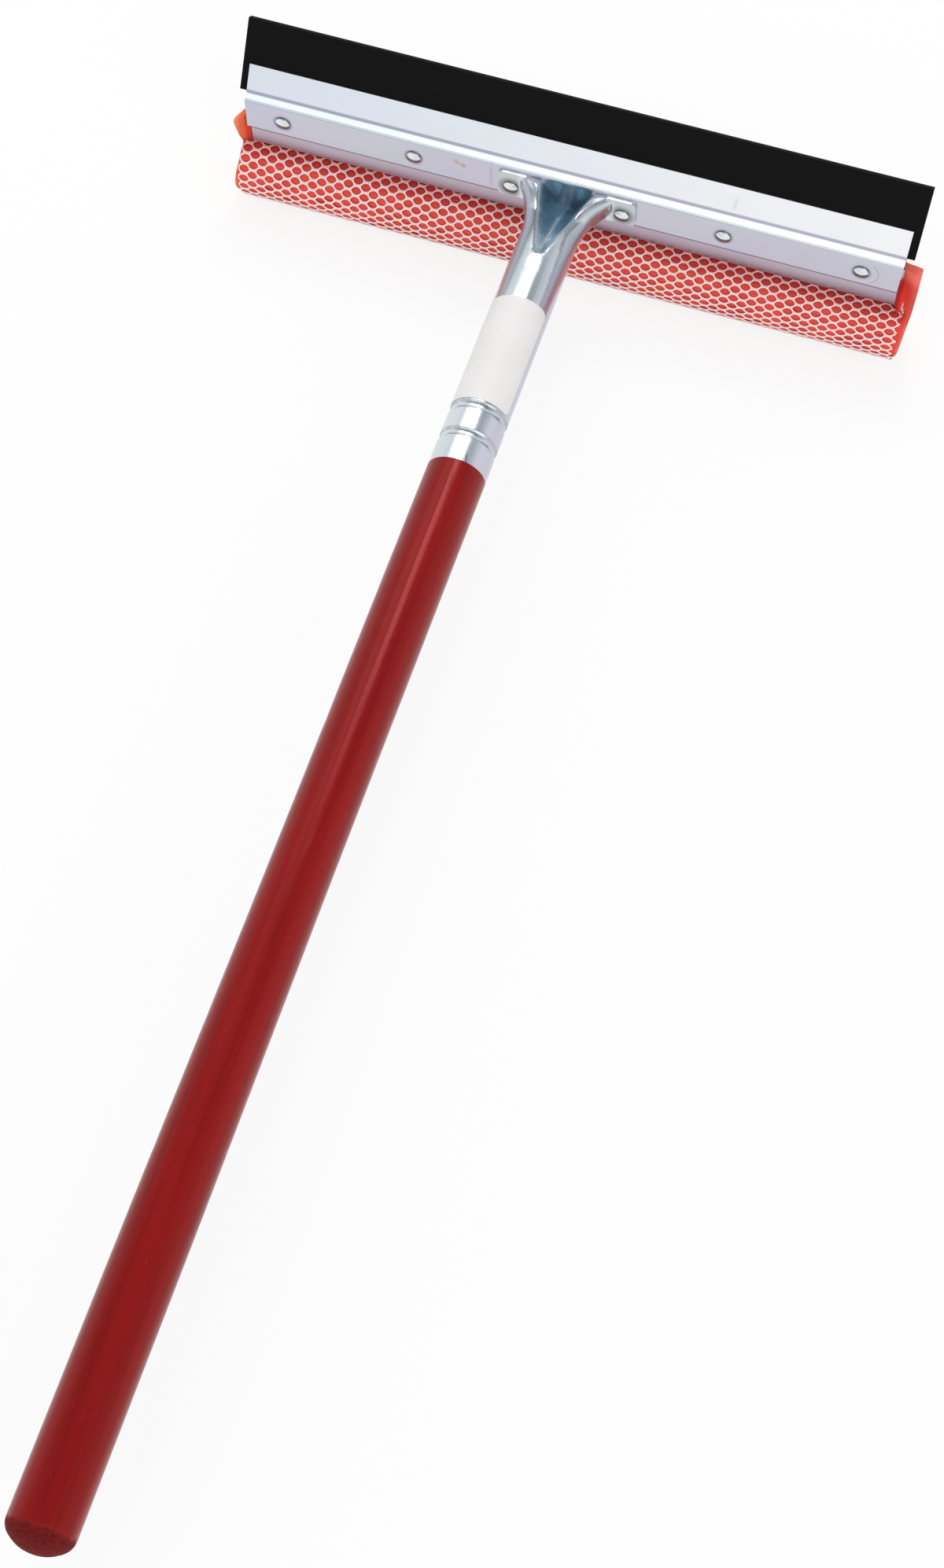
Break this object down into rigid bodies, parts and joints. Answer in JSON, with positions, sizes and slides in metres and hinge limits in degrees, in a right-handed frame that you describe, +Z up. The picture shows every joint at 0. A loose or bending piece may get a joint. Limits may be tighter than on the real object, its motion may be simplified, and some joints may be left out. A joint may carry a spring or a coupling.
{
  "type": "window scrubber",
  "caption": "Hand window scrubber: a rubber blade and a net-covered foam bar riveted in one zinc-plated head, on a red wooden handle with a crimped ferrule.",
  "frame": {"origin": "on the surface the tool lies on, under the middle of its whole outline", "axes": "+X along the blade to the right as the blade points away, +Y along the handle towards the head, +Z up, on the side where the blade leans"},
  "size_m": [0.2118, 0.4268, 0.061],
  "materials": {
    "lacquered_wood": "red translucent lacquer over fine straight grain, semi-gloss, with rougher end grain at the butt",
    "zinc_plate": "bright blue-passivated zinc plate on thin steel",
    "rivet_steel": "bright plated steel, domed heads",
    "blade_rubber": "matt black rubber with cut square edges",
    "foam": "open-cell red-orange foam",
    "net": "knitted pale pink-white hexagonal mesh of plastic yarn",
    "label_paper": "blank coated off-white paper"
  },
  "bodies": {
    "root": {"wooden_handle": "lacquered_wood", "paper_label": "label_paper", "rubber_blade": "blade_rubber", "foam_sponge": "foam", "net_sleeve": "net", "ferrule": "zinc_plate", "front_plate": "zinc_plate", "neck_strip": "zinc_plate", "rear_plate": "zinc_plate", "plate_rivet_1": "rivet_steel", "plate_rivet_2": "rivet_steel", "plate_rivet_3": "rivet_steel", "plate_rivet_4": "rivet_steel", "ear_rivet_left": "rivet_steel", "ear_rivet_right": "rivet_steel"}
  },
  "joints": []
}
